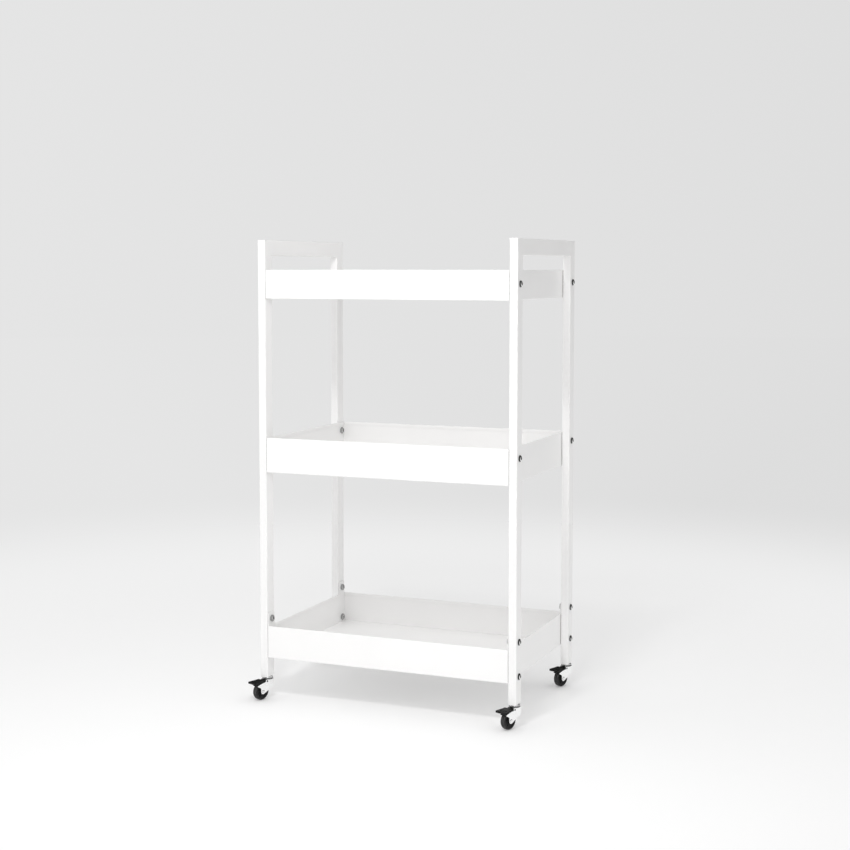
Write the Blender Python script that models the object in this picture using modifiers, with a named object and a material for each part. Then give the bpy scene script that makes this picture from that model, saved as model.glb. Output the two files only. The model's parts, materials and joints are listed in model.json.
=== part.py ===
"""Rolling salon trolley: three sheet-metal trays bolted between two welded tube frames, on four braked swivel
casters. Metres, +Z up, +X to the right end, +Y to the rear, floor at Z = 0, origin under the middle of the overall box.
"""

import math

import bmesh
import bpy
from mathutils import Matrix, Vector

MM = 0.001

# The two end frames: rectangular tube bent as an upside-down U, the crossbar being the handle.
FRAME_LENGTH = 454.0 * MM
FRAME_DEPTH = 297.0 * MM
TOTAL_HEIGHT = 770.0 * MM
TUBE_X = 13.5 * MM
TUBE_Y = 24.0 * MM
TUBE_WALL = 1.2 * MM
TUBE_CORNER = 1.4 * MM
HANDLE_HEIGHT = 26.4 * MM
LEG_END_Z = 38.2 * MM
LEG_PLATE = 3.0 * MM

# Where the middle of the frames stands, so that the overall box, pedals included, is centred on the origin.
FRAME_MIDDLE = (5.71 * MM, 11.87 * MM)

# The trays: sheet steel with the rims hemmed inwards. Each has its underside and rim height.
SHEET = 1.0 * MM
HEM_DEPTH = 6.0 * MM
TRAY_CORNER = 2.5 * MM
TRAY_GAP = 0.3 * MM
TRAYS = {
    "top": (673.3 * MM, 720.9 * MM),
    "middle": (384.5 * MM, 442.7 * MM),
    "bottom": (71.9 * MM, 125.7 * MM),
}
EAR_TOP = 148.0 * MM
EAR_WIDTH = 22.0 * MM
EAR_CORNER = 4.0 * MM

# The bolts and nuts that hold a tray to a post, by height. The upper bottom pair goes through the ears.
BOLT_ROWS = {
    "top": 699.5 * MM,
    "middle": 427.5 * MM,
    "bottom_upper": 137.0 * MM,
    "bottom_lower": 82.0 * MM,
}
BOLT_RADIUS = 3.0 * MM
BOLT_LENGTH = 19.0 * MM
HEAD_RADIUS = 5.25 * MM
HEAD_HEIGHT = 3.3 * MM
SOCKET_RADIUS = 2.31 * MM
SOCKET_DEPTH = 1.9 * MM
HOLE_RADIUS = 3.3 * MM
NUT_RADIUS = 5.77 * MM
NUT_HEIGHT = 3.2 * MM
SEAT_GAP = 0.2 * MM

# The casters. In a caster's own frame +X is the way it trails, +Y its axle and Z = 0 the floor.
CASTER_YAW = math.radians(248.0)
TRAIL = 15.0 * MM
WHEEL_RADIUS = 14.4 * MM
WHEEL_WIDTH = 9.0 * MM
HUB_WIDTH = 10.0 * MM
WHEEL_BORE = 2.07 * MM
AXLE_RADIUS = 2.0 * MM
FLANGE_RADIUS = 9.0 * MM
FLANGE_Z = (36.2 * MM, 37.9 * MM)
STEM_RADIUS = 3.0 * MM
STEM_TOP = 50.0 * MM
CROWN_Z = (33.1 * MM, 35.8 * MM)
CROWN_BORE = 3.09 * MM
CHEEK_INNER = 5.3 * MM
CHEEK_OUTER = 6.5 * MM
FORK_BACK = -8.0 * MM
PEDAL_PIVOT = (6.0 * MM, 30.5 * MM)
PEG_RADIUS = 1.5 * MM
PEG_HOLE = 1.59 * MM
PEDAL_HALF_WIDTH = 10.0 * MM

POWDER_COAT = ((0.87, 0.87, 0.86, 1.0), 0.45, 0.0)
PLATED_STEEL = ((0.78, 0.78, 0.79, 1.0), 0.18, 1.0)
BLACK_PLASTIC = ((0.025, 0.025, 0.027, 1.0), 0.45, 0.0)
BLACK_TREAD = ((0.018, 0.018, 0.019, 1.0), 0.6, 0.0)


def clear_scene():
    for obj in list(bpy.data.objects):
        bpy.data.objects.remove(obj, do_unlink=True)


def new_collection(name):
    collection = bpy.data.collections.new(name)
    bpy.context.scene.collection.children.link(collection)
    return collection


def material(name, look):
    colour, roughness, metallic = look
    made = bpy.data.materials.new(name)
    made.use_nodes = True
    shader = made.node_tree.nodes["Principled BSDF"]
    shader.inputs["Base Color"].default_value = colour
    shader.inputs["Roughness"].default_value = roughness
    shader.inputs["Metallic"].default_value = metallic
    made.diffuse_color = colour
    return made


def move_to(obj, collection):
    for owner in list(obj.users_collection):
        owner.objects.unlink(obj)
    collection.objects.link(obj)
    return obj


def active_named(name):
    obj = bpy.context.active_object
    obj.name = name
    obj.data.name = name
    return move_to(obj, CUTTERS)


def as_cutter(obj):
    obj.hide_render = True
    obj.display_type = "WIRE"
    return obj


def box(name, low, high):
    bpy.ops.mesh.primitive_cube_add(size=1.0)
    obj = active_named(name)
    size = [b - a for a, b in zip(low, high)]
    middle = Vector([(a + b) / 2 for a, b in zip(low, high)])
    obj.data.transform(Matrix.Translation(middle) @ Matrix.Diagonal((*size, 1.0)))
    return obj


def cylinder(name, radius, start, end, sides):
    """A cylinder between two points."""
    start, end = Vector(start), Vector(end)
    bpy.ops.mesh.primitive_cylinder_add(vertices=sides, radius=radius, depth=(end - start).length)
    obj = active_named(name)
    turn = Vector((0, 0, 1)).rotation_difference(end - start).to_matrix().to_4x4()
    obj.data.transform(Matrix.Translation((start + end) / 2) @ turn)
    return obj


def prism(name, outline, axis, low, high):
    """A flat outline pushed from low to high along an axis. The outline's two numbers are the other two axes."""
    mesh = bpy.data.meshes.new(name)
    shape = bmesh.new()
    at = {
        "X": lambda p, w: (w, p[0], p[1]),
        "Y": lambda p, w: (p[0], w, p[1]),
        "Z": lambda p, w: (p[0], p[1], w),
    }[axis]
    face = shape.faces.new([shape.verts.new(at(p, low)) for p in outline])
    grown = bmesh.ops.extrude_face_region(shape, geom=[face])
    move = Vector(at((0.0, 0.0), high - low))
    far_side = [v for v in grown["geom"] if isinstance(v, bmesh.types.BMVert)]
    bmesh.ops.translate(shape, vec=move, verts=far_side)
    bmesh.ops.recalc_face_normals(shape, faces=shape.faces)
    shape.to_mesh(mesh)
    shape.free()
    obj = bpy.data.objects.new(name, mesh)
    CUTTERS.objects.link(obj)
    return obj


def lathe(name, profile, steps):
    """A turned shape about Z, from (radius, height) points that run down its outer side."""
    mesh = bpy.data.meshes.new(name)
    mesh.from_pydata([(r, 0.0, z) for r, z in profile], [(i, i + 1) for i in range(len(profile) - 1)], [])
    obj = bpy.data.objects.new(name, mesh)
    CUTTERS.objects.link(obj)
    screw = obj.modifiers.new("turn", "SCREW")
    screw.axis = "Z"
    screw.steps = screw.render_steps = steps
    screw.use_merge_vertices = True
    screw.merge_threshold = 0.00001
    return obj


def round_edges(obj, radius, segments, choose):
    """Rounds the edges whose two ends satisfy choose."""
    shape = bmesh.new()
    shape.from_mesh(obj.data)
    edges = [e for e in shape.edges if choose(e.verts[0].co, e.verts[1].co)]
    bmesh.ops.bevel(shape, geom=edges, offset=radius, segments=segments, profile=0.5, affect="EDGES")
    bmesh.ops.recalc_face_normals(shape, faces=shape.faces)
    shape.to_mesh(obj.data)
    shape.free()
    return obj


def upright(a, b):
    return abs(a.z - b.z) > 0.5 * (a - b).length


def combine(obj, other, operation):
    """Joins, cuts or intersects with another solid, which stays behind as a hidden cutter."""
    step = obj.modifiers.new(other.name, "BOOLEAN")
    step.operation = operation
    step.solver = "EXACT"
    step.object = as_cutter(other)
    return obj


def finished_mesh(obj, smooth=False):
    """The shape after its modifiers, as a mesh that several objects can share."""
    graph = bpy.context.evaluated_depsgraph_get()
    mesh = bpy.data.meshes.new_from_object(obj.evaluated_get(graph))
    bpy.data.objects.remove(obj, do_unlink=True)
    if smooth:
        mesh.polygons.foreach_set("use_smooth", [True] * len(mesh.polygons))
        mesh.set_sharp_from_angle(angle=math.radians(40.0))
    return mesh


def node(name, mesh, look, place=None):
    obj = bpy.data.objects.new(name, mesh)
    if not mesh.materials:
        mesh.materials.append(look)
    if place is not None:
        obj.matrix_world = place
    TROLLEY.objects.link(obj)
    return obj


def frame_point(x, y, z=0.0):
    """From the frames' front left corner to the origin's frame."""
    return Vector((
        x - FRAME_LENGTH / 2 + FRAME_MIDDLE[0],
        y - FRAME_DEPTH / 2 + FRAME_MIDDLE[1],
        z,
    ))


FRAME_CORNER = Matrix.Translation(frame_point(0.0, 0.0))
POST_Y = {"front": TUBE_Y / 2, "rear": FRAME_DEPTH - TUBE_Y / 2}
POST_X = {"left": TUBE_X / 2, "right": FRAME_LENGTH - TUBE_X / 2}


def bolt_holes(name, rows, x_low, x_high):
    """One cutter with a long round bar for each bolt of these rows."""
    cutter = bpy.data.objects.new(name, bpy.data.meshes.new(name))
    CUTTERS.objects.link(cutter)
    bars = bmesh.new()
    for row in rows:
        for y in POST_Y.values():
            bar = cylinder("bar", HOLE_RADIUS, (x_low, y, BOLT_ROWS[row]), (x_high, y, BOLT_ROWS[row]), 20)
            bars.from_mesh(bar.data)
            bpy.data.objects.remove(bar, do_unlink=True)
    bars.to_mesh(cutter.data)
    bars.free()
    return cutter


def u_outline(inset, leg_end):
    """The upside-down U of an end frame, seen from the end, shrunk by inset."""
    near, far = inset, FRAME_DEPTH - inset
    top, under = TOTAL_HEIGHT - inset, TOTAL_HEIGHT - HANDLE_HEIGHT + inset
    leg = TUBE_Y - inset
    return [
        (near, leg_end), (near, top), (far, top), (far, leg_end),
        (FRAME_DEPTH - leg, leg_end), (FRAME_DEPTH - leg, under), (leg, under), (leg, leg_end),
    ]


def build_end_frame(side):
    """Hollow welded tube with a plate in each leg end that takes a caster's stem."""
    low = POST_X[side] - TUBE_X / 2
    high = low + TUBE_X
    name = "end_frame_" + side
    frame = prism(name + "_shape", u_outline(0.0, LEG_END_Z), "X", low, high)

    def along_the_tube(a, b):
        return abs(a.x - b.x) < 0.1 * MM and max(a.z, b.z) > LEG_END_Z + 1 * MM

    round_edges(frame, TUBE_CORNER, 2, along_the_tube)
    inside = u_outline(TUBE_WALL, LEG_END_Z + LEG_PLATE)
    combine(frame, prism(name + "_inside", inside, "X", low + TUBE_WALL, high - TUBE_WALL), "DIFFERENCE")
    combine(frame, bolt_holes(name + "_bolt_holes", BOLT_ROWS, low - 5 * MM, high + 5 * MM), "DIFFERENCE")
    for end, y in POST_Y.items():
        below, above = (POST_X[side], y, LEG_END_Z - 2 * MM), (POST_X[side], y, LEG_END_Z + LEG_PLATE + 2 * MM)
        combine(frame, cylinder(f"{name}_stem_hole_{end}", HOLE_RADIUS, below, above, 20), "DIFFERENCE")
    node(name, finished_mesh(frame), COAT, FRAME_CORNER)


def build_tray(tier):
    """A folded sheet tray. The bottom one has an ear above each corner for its upper bolts."""
    under, rim = TRAYS[tier]
    low = (TUBE_X + TRAY_GAP, 0.0)
    high = (FRAME_LENGTH - TUBE_X - TRAY_GAP, FRAME_DEPTH)
    name = "tray_" + tier

    def upright_or_under(a, b):
        return upright(a, b) or max(a.z, b.z) < under + 0.1 * MM

    tray = box(name + "_shape", (*low, under), (*high, rim))
    round_edges(tray, TRAY_CORNER, 3, upright_or_under)
    rows = [tier]
    if tier == "bottom":
        rows = ["bottom_upper", "bottom_lower"]
        for end, y in POST_Y.items():
            for side, x in (("left", low[0]), ("right", high[0] - SHEET)):
                near, far = y - EAR_WIDTH / 2, y + EAR_WIDTH / 2
                ear = box(f"ear_{end}_{side}", (x, near, rim - 5 * MM), (x + SHEET, far, EAR_TOP))
                round_edges(ear, EAR_CORNER, 3, lambda a, b: min(a.z, b.z) > EAR_TOP - 1e-5 and abs(a.y - b.y) < 1e-5)
                combine(tray, ear, "UNION")
    inner = TRAY_CORNER - SHEET
    floor = box(name + "_inside", (low[0] + SHEET, low[1] + SHEET, under + SHEET),
                (high[0] - SHEET, high[1] - SHEET, rim - HEM_DEPTH))

    def upright_or_floor(a, b):
        return upright(a, b) or max(a.z, b.z) < under + SHEET + 0.1 * MM

    round_edges(floor, inner, 3, upright_or_floor)
    mouth = box(name + "_mouth", (low[0] + 2 * SHEET, low[1] + 2 * SHEET, rim - HEM_DEPTH - 1 * MM),
                (high[0] - 2 * SHEET, high[1] - 2 * SHEET, rim + 1 * MM))
    round_edges(mouth, inner / 2, 2, upright)
    combine(tray, floor, "DIFFERENCE")
    combine(tray, mouth, "DIFFERENCE")
    if tier == "bottom":
        # The hem stops at the ears, whose sheet runs straight up.
        for end, y in POST_Y.items():
            near = max(y - EAR_WIDTH / 2 - 1 * MM, 2 * SHEET)
            far = min(y + EAR_WIDTH / 2 + 1 * MM, FRAME_DEPTH - 2 * SHEET)
            slot = box(f"{name}_hem_stop_{end}", (low[0] + SHEET, near, rim - HEM_DEPTH - 1 * MM),
                       (high[0] - SHEET, far, rim + 1 * MM))
            combine(tray, slot, "DIFFERENCE")
    combine(tray, bolt_holes(name + "_bolt_holes", rows, -5 * MM, FRAME_LENGTH + 5 * MM), "DIFFERENCE")
    node(name, finished_mesh(tray), COAT, FRAME_CORNER)


def bolt_mesh():
    """A button-head bolt with a hex socket, its head's underside at Z = 0."""
    r, h, s = HEAD_RADIUS, HEAD_HEIGHT, BOLT_RADIUS
    bolt = lathe("bolt_shape", [
        (0.0, h), (0.52 * r, 0.97 * h), (0.80 * r, 0.72 * h), (0.97 * r, 0.30 * h), (r, 0.0),
        (s, 0.0), (s, 0.4 * MM - BOLT_LENGTH), (0.85 * s, -BOLT_LENGTH), (0.0, -BOLT_LENGTH),
    ], 18)
    socket = cylinder("bolt_socket", SOCKET_RADIUS, (0, 0, h - SOCKET_DEPTH), (0, 0, h + 1 * MM), 6)
    return finished_mesh(combine(bolt, socket, "DIFFERENCE"), smooth=True)


def nut_mesh():
    """A thin hexagon nut, its seat at Z = 0."""
    nut = cylinder("nut_shape", NUT_RADIUS, (0, 0, 0), (0, 0, NUT_HEIGHT), 6)
    round_edges(nut, 0.4 * MM, 1, lambda a, b: abs(a.z - b.z) < 1e-6 and a.z > 1e-6)
    bore = cylinder("nut_bore", HOLE_RADIUS, (0, 0, -1 * MM), (0, 0, NUT_HEIGHT + 1 * MM), 18)
    return finished_mesh(combine(nut, bore, "DIFFERENCE"))


def build_fasteners():
    bolt, nut = bolt_mesh(), nut_mesh()
    for row, z in BOLT_ROWS.items():
        for end, y in POST_Y.items():
            for side, outward in (("left", -1), ("right", 1)):
                turn = Matrix.Rotation(outward * math.pi / 2, 4, "Y")
                outer = POST_X[side] + outward * (TUBE_X / 2 + SEAT_GAP)
                inner = POST_X[side] - outward * (TUBE_X / 2 + TRAY_GAP + SHEET + SEAT_GAP)
                place = Matrix.Translation(frame_point(outer, y, z)) @ turn
                node(f"bolt_{row}_{end}_{side}", bolt, PLATED, place)
                place = Matrix.Translation(frame_point(inner, y, z)) @ Matrix.Rotation(-outward * math.pi / 2, 4, "Y")
                node(f"nut_{row}_{end}_{side}", nut, PLATED, place)


def stem_mesh():
    """The threaded stem with its flange, riveted over under the fork's crown."""
    r, f = STEM_RADIUS, FLANGE_RADIUS
    return finished_mesh(lathe("stem_shape", [
        (0.0, STEM_TOP), (0.8 * r, STEM_TOP), (r, STEM_TOP - 0.6 * MM), (r, FLANGE_Z[1]),
        (f - 0.3 * MM, FLANGE_Z[1]), (f, FLANGE_Z[1] - 0.4 * MM), (f, FLANGE_Z[0]), (r, FLANGE_Z[0]),
        (r, CROWN_Z[0] - 0.3 * MM), (3.5 * MM, CROWN_Z[0] - 0.3 * MM), (3.3 * MM, CROWN_Z[0] - 1.3 * MM),
        (0.0, CROWN_Z[0] - 1.5 * MM),
    ], 20), smooth=True)


def arc(middle, radius, first, last, count):
    """Points on an arc, angles in degrees."""
    turns = [math.radians(first + (last - first) * i / (count - 1)) for i in range(count)]
    return [(middle[0] + radius * math.cos(a), middle[1] + radius * math.sin(a)) for a in turns]


def fork_mesh():
    """A pressed fork: round crown, closed back, two cheeks that reach down to the axle and forward under the pedal."""
    axle = (TRAIL, WHEEL_RADIUS)
    side = [(FORK_BACK, 33.6 * MM), (FORK_BACK, 21.0 * MM)]
    side += arc(axle, 4.4 * MM, 242.0, 360.0, 6)
    side += [(19.6 * MM, 20.6 * MM), (26.6 * MM, 24.4 * MM), (26.4 * MM, 25.3 * MM), (21.5 * MM, 27.0 * MM),
             (16.0 * MM, 28.5 * MM), (10.2 * MM, 29.3 * MM), (9.4 * MM, 30.2 * MM), (8.4 * MM, 33.6 * MM)]
    fork = prism("fork_shape", side, "Y", -CHEEK_OUTER, CHEEK_OUTER)
    round_edges(fork, 1.6 * MM, 2, lambda a, b: upright(a, b) and max(a.x, b.x) < FORK_BACK + 0.1 * MM)
    crown = cylinder("fork_crown", FLANGE_RADIUS, (0, 0, CROWN_Z[0]), (0, 0, CROWN_Z[1]), 24)
    round_edges(crown, 0.6 * MM, 1, lambda a, b: min(a.z, b.z) > CROWN_Z[1] - 1e-6)
    combine(fork, crown, "UNION")
    back = FORK_BACK + 1.2 * MM
    combine(fork, box("fork_slot", (back, -CHEEK_INNER, 0.0), (40 * MM, CHEEK_INNER, CROWN_Z[0])), "DIFFERENCE")
    combine(fork, cylinder("crown_bore", CROWN_BORE, (0, 0, 30 * MM), (0, 0, 40 * MM), 32), "DIFFERENCE")
    wide = 20 * MM
    for name, (x, z), radius in (("axle_hole", axle, AXLE_RADIUS + 0.3 * MM), ("peg_hole", PEDAL_PIVOT, PEG_HOLE)):
        combine(fork, cylinder(name, radius, (x, -wide, z), (x, wide, z), 24), "DIFFERENCE")
    return finished_mesh(fork)


def wheel_mesh():
    """Tread and hub about Z, with a shallow ring recess on each face."""
    r, w, h = WHEEL_RADIUS, WHEEL_WIDTH / 2, HUB_WIDTH / 2
    half = [(WHEEL_BORE, h), (4.2 * MM, h), (4.8 * MM, w - 1.0 * MM), (10.2 * MM, w - 1.0 * MM),
            (10.8 * MM, w), (r - 1.6 * MM, w), (r - 0.4 * MM, w - 0.9 * MM), (r, w - 2.2 * MM)]
    profile = half + [(x, -z) for x, z in reversed(half)] + [half[0]]
    return finished_mesh(lathe("wheel_shape", profile, 36), smooth=True)


def axle_mesh():
    end, head = CHEEK_OUTER + 0.2 * MM, CHEEK_OUTER + 1.0 * MM
    half = [(0.0, head), (2.2 * MM, head), (2.8 * MM, end + 0.3 * MM), (2.8 * MM, end), (AXLE_RADIUS, end)]
    return finished_mesh(lathe("axle_shape", half + [(x, -z) for x, z in reversed(half)], 24), smooth=True)


def pedal_mesh():
    """The brake pedal about its pivot: a flared paddle over the wheel on a narrow neck with two pegs."""
    px, pz = PEDAL_PIVOT
    side = [(4.2, 29.6), (4.2, 31.4), (5.2, 32.4), (12.0, 32.5), (33.8, 31.9), (34.8, 31.1), (35.0, 29.4),
            (34.2, 28.8), (30.0, 28.9), (22.0, 30.1), (16.0, 30.6), (11.0, 30.5), (7.4, 28.7), (5.0, 28.7)]
    neck, wide = 4.9 * MM, PEDAL_HALF_WIDTH
    half = [(0.0, neck), (10.7 * MM, neck), (12.4 * MM, wide), (20.0 * MM, wide - 0.7 * MM),
            (32.0 * MM, wide), (34.4 * MM, wide - 0.6 * MM), (36.0 * MM, wide - 2.2 * MM)]
    plan = half + [(x, -y) for x, y in reversed(half)]
    pedal = prism("pedal_shape", [(x * MM, z * MM) for x, z in side], "Y", -12 * MM, 12 * MM)
    combine(pedal, prism("pedal_plan", plan, "Z", 25 * MM, 36 * MM), "INTERSECT")
    pegs = cylinder("pedal_pegs", PEG_RADIUS, (px, -6.3 * MM, pz), (px, 6.3 * MM, pz), 24)
    combine(pedal, pegs, "UNION")
    mesh = finished_mesh(pedal)
    mesh.transform(Matrix.Translation((-px, 0.0, -pz)))
    return mesh


def build_casters():
    stem, fork, wheel, axle, pedal = stem_mesh(), fork_mesh(), wheel_mesh(), axle_mesh(), pedal_mesh()
    on_axle = Matrix.Translation((TRAIL, 0.0, WHEEL_RADIUS)) @ Matrix.Rotation(-math.pi / 2, 4, "X")
    on_pivot = Matrix.Translation((PEDAL_PIVOT[0], 0.0, PEDAL_PIVOT[1]))
    for end, y in POST_Y.items():
        for side, x in POST_X.items():
            name = f"caster_{end}_{side}_"
            stand = Matrix.Translation(frame_point(x, y)) @ Matrix.Rotation(CASTER_YAW, 4, "Z")
            node(name + "stem", stem, PLATED, stand)
            node(name + "fork", fork, PLATED, stand)
            node(name + "wheel", wheel, TREAD, stand @ on_axle)
            node(name + "axle", axle, PLATED, stand @ on_axle)
            node(name + "pedal", pedal, PLASTIC, stand @ on_pivot)


clear_scene()
TROLLEY = new_collection("rolling_salon_trolley")
CUTTERS = new_collection("cutters")
COAT = material("white_powder_coat", POWDER_COAT)
PLATED = material("plated_steel", PLATED_STEEL)
PLASTIC = material("black_plastic", BLACK_PLASTIC)
TREAD = material("black_tread", BLACK_TREAD)
for frame_side in POST_X:
    build_end_frame(frame_side)
for tray_tier in TRAYS:
    build_tray(tray_tier)
build_fasteners()
build_casters()
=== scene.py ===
"""The looks of a rolling salon trolley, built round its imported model: white powder-coated frames and hemmed
trays, plated bolts and nuts, and four small braked casters. Metres, +Z up, floor at Z = 0.
"""

import json
import math

import bmesh
import bpy
from mathutils import Matrix, Vector


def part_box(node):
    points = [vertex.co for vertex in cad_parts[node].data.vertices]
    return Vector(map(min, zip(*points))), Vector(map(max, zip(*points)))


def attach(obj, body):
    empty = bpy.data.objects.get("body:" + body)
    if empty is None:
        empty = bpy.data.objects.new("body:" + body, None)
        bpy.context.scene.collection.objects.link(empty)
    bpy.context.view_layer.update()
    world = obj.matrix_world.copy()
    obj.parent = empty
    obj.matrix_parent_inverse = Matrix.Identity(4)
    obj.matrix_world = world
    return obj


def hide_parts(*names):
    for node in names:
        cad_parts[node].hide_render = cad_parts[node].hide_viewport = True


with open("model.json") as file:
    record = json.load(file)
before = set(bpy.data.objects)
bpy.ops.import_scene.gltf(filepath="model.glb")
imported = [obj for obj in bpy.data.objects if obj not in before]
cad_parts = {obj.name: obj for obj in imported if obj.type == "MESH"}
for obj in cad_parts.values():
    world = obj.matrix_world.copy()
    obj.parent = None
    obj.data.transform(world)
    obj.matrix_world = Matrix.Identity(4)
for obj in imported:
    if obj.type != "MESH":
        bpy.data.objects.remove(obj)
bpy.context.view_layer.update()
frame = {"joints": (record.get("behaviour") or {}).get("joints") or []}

MM = 0.001
BODY = "trolley"
SIDES = {"left": -1, "right": 1}
ENDS = ("front", "rear")
TRAY_ROWS = {"top": ("top",), "middle": ("middle",), "bottom": ("bottom_upper", "bottom_lower")}
ROWS = ("top", "middle", "bottom_upper", "bottom_lower")

# How finely round shapes are divided, and the least radius of a rounded corner.
ROUND_STEPS = 48
HOLE_STEPS = 32
CORNER_STEPS = 6
THREAD_STEPS = 6
LEAST_CORNER = 0.12 * MM

# How far a cutter passes the surface that it cuts, and the room left round an ear.
OVERSHOOT = 5.0 * MM
CLEARANCE = 1.0 * MM

# Sheet and tube.
TUBE_DEPTH = 24.0 * MM
TUBE_WALL = 1.2 * MM
TUBE_CORNER = 1.4 * MM
HANDLE_HEIGHT = 26.4 * MM
LEG_PLUG_DEPTH = 0.6 * MM
WELD_HALF_WIDTH = 1.3 * MM
WELD_RISE = 0.05 * MM
SHEET = 1.0 * MM
TRAY_BEND = 1.6 * MM
HEM_DEPTH = 6.0 * MM
HEM_SLIT = 0.35 * MM
RIM_HEIGHTS = {"top": 47.6 * MM, "middle": 58.2 * MM, "bottom": 53.8 * MM}
EAR_WIDTH = 22.0 * MM
EAR_CORNER = 4.0 * MM
BOLT_HOLE = 3.3 * MM

# Bolts and nuts.
HEAD_RADIUS = 5.25 * MM
HEAD_HEIGHT = 3.3 * MM
SOCKET_RADIUS = 2.31 * MM
SOCKET_DEPTH = 1.9 * MM
SHANK_RADIUS = 3.0 * MM
SHANK_LENGTH = 19.0 * MM
THREAD_PITCH = 1.0 * MM
THREAD_DEPTH = 0.5 * MM
NUT_CORNER = 5.77 * MM
NUT_HEIGHT = 3.2 * MM
NUT_BORE = 3.06 * MM

# Casters. In a caster's own frame +X is the way it trails, +Y its axle and Z = 0 the floor.
TRAIL = 15.0 * MM
WHEEL_RADIUS = 14.4 * MM
WHEEL_BORE = 2.07 * MM
HUB_RADIUS = 10.75 * MM
WHEEL_RIBS = 6
TREAD_BAND = 2.6 * MM
AXLE_RADIUS = 2.0 * MM
FLANGE_RADIUS = 9.0 * MM
FLANGE_Z = (36.2 * MM, 37.9 * MM)
STEM_TOP = 50.0 * MM
CROWN_Z = (33.1 * MM, 35.8 * MM)
CROWN_BORE = 3.09 * MM
CHEEK_INNER = 5.3 * MM
CHEEK_OUTER = 6.5 * MM
FORK_BACK = -8.0 * MM
PEDAL_PIVOT = (6.0 * MM, 30.5 * MM)
PEG_RADIUS = 1.5 * MM
PEG_HOLE = 1.59 * MM
PEDAL_HALF_WIDTH = 10.0 * MM
PEDAL_RIBS = 4

# Greys of the materials, in linear light.
COAT_GREYS = (0.905, 0.925)
COAT_WORN = 0.78
# Painted shade: the coat's grey deep inside narrow gaps, where shadow falls.
GAP_SHADE_GREY = 0.2
# Painted shade and painted dark reflection on the fork's edges, back and crown rim.
EDGE_SHADE_GREY = 0.05
# Painted shade: the grey of a bolt head's rim, for its contact shadow, and of its socket, for the shade inside
# it.
HEAD_SHADE_GREY = 0.02
PLASTIC_GREYS = (0.007, 0.014)
TREAD_GREYS = (0.007, 0.02)
# Painted highlight: the grey of the lighter bands of sheen round the tread.
TREAD_SHEEN_GREY = 0.11

# The studio: a backdrop and a far floor of one grey, which goes from the first number to the second over this
# span of a direction's X.
BACKDROP = (0.786, 0.727)
BACKDROP_SPAN = (-0.65, 0.0)
# The floor is shaded near the trolley and glows with the backdrop's grey far off. The fades are distances.
FLOOR_RADIUS = 14.0
FLOOR_Z = (-0.0005, -0.0105)
GLOW_NEAR = 0.94
GLOW_FADE = (0.6, 2.4)
GLOW_SHARE = 0.12
SHADE_FADE = (0.5, 1.8)
# The world's soft light: the same from all round, and more along these axes.
SOFT_BASE = 0.58
SOFT_LOBES = (("X", -1.0, 0.42), ("X", 1.0, 0.2), ("Z", 1.0, 0.24))
# Reflections fade to this share of the light where they look behind the trolley.
DARK_BEHIND = (0.25, 0.6)
DARK_SHARE = 0.06
# Round lamps: name, place, diameter and watts, all aimed at one point.
LIGHTS = (
    ("key", (0.36, -1.4, 1.85), 0.25, 2.0),
    ("key_near", (0.14, -1.0, 1.25), 0.2, 4.2),
    ("key_left", (-1.2, -1.6, 1.4), 0.35, 1.0),
    ("fill_high", (0.3, -2.4, 2.2), 0.5, 1.5),
    ("fill_right", (1.0, -2.5, 0.7), 1.4, 6.0),
)
LIGHT_AIM = (0.0, 0.0, 0.35)

# The camera: metres, degrees, and millimetres for its lens and sensor.
CAMERA_PLACE = (1.0145, -2.3922, 0.7243)
CAMERA_YAW = 22.549
CAMERA_PITCH = 4.0
CAMERA_LENS = 65.426
CAMERA_SENSOR = 36.0
CAMERA_SHIFT = -0.0579


# ---------------------------------------------------------------- meshes

def rings_mesh(name, rings, wrap=False):
    """A skin over rings of equally many points, capped at both ends unless it wraps round."""
    shape = bmesh.new()
    loops = [[shape.verts.new(p) for p in ring] for ring in rings]
    count = len(rings[0])
    pairs = list(zip(loops, loops[1:] + loops[:1])) if wrap else list(zip(loops, loops[1:]))
    for upper, lower in pairs:
        for i in range(count):
            j = (i + 1) % count
            shape.faces.new((upper[i], lower[i], lower[j], upper[j]))
    if not wrap:
        shape.faces.new(loops[0])
        shape.faces.new(list(reversed(loops[-1])))
    bmesh.ops.recalc_face_normals(shape, faces=shape.faces)
    mesh = bpy.data.meshes.new(name)
    shape.to_mesh(mesh)
    shape.free()
    return mesh


def circle(radius, z, steps=ROUND_STEPS):
    turns = [2 * math.pi * i / steps for i in range(steps)]
    return [(radius * math.cos(a), radius * math.sin(a), z) for a in turns]


def lathe(name, profile, steps=ROUND_STEPS, wrap=False):
    """A turned shape about Z, from (radius, height) points that run down its outer side."""
    return rings_mesh(name, [circle(r, z, steps) for r, z in profile], wrap)


def thread_rings(radius, top, bottom):
    """Rings down a screw thread, from height top to bottom. It runs out over three rings at each end."""
    levels = max(2, round((top - bottom) / THREAD_PITCH * THREAD_STEPS))
    rings = []
    for k in range(levels + 1):
        z = top + (bottom - top) * k / levels
        run_out = min(1.0, k / 3, (levels - k) / 3)
        ring = []
        for i in range(ROUND_STEPS):
            turn = 2 * math.pi * i / ROUND_STEPS
            cut = 0.5 + 0.5 * math.cos(2 * math.pi * z / THREAD_PITCH - turn)
            r = radius - THREAD_DEPTH * cut * run_out
            ring.append((r * math.cos(turn), r * math.sin(turn), z))
        rings.append(ring)
    return rings


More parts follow.
